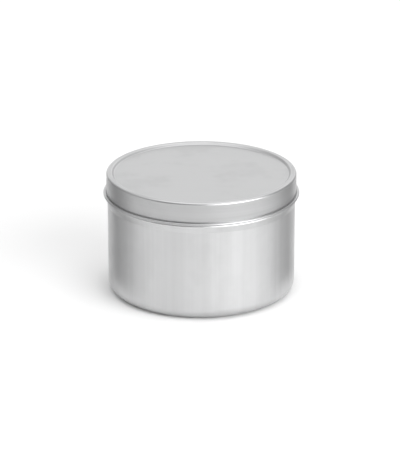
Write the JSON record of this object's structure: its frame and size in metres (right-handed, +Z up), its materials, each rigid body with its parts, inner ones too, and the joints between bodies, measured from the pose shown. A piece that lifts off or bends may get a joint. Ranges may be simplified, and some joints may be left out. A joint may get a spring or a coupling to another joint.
{
  "type": "round slip-lid tin",
  "caption": "Closed round tinplate tin with a seamless drawn body, a stop bead round its wall and a lift-off slip lid with a rolled edge.",
  "frame": {"origin": "centre of the base, in the plane that the tin stands on", "axes": "+Z up along the tin's own axis, the way the lid lifts off; the tin is round, so X and Y are free"},
  "size_m": [0.0824, 0.0824, 0.0516],
  "materials": {
    "tinplate_body": "satin bright tinplate with a faint upright drawing grain",
    "tinplate_lid": "satin bright tinplate, a little smoother than the body"
  },
  "bodies": {
    "tin": {"tin_body": "tinplate_body"},
    "lid": {"slip_lid": "tinplate_lid"}
  },
  "joints": [
    {"name": "lid_lift", "type": "slide", "parent": "tin", "child": "lid", "axis": [0, 0, 1], "range_m": [0, 0.08]}
  ]
}
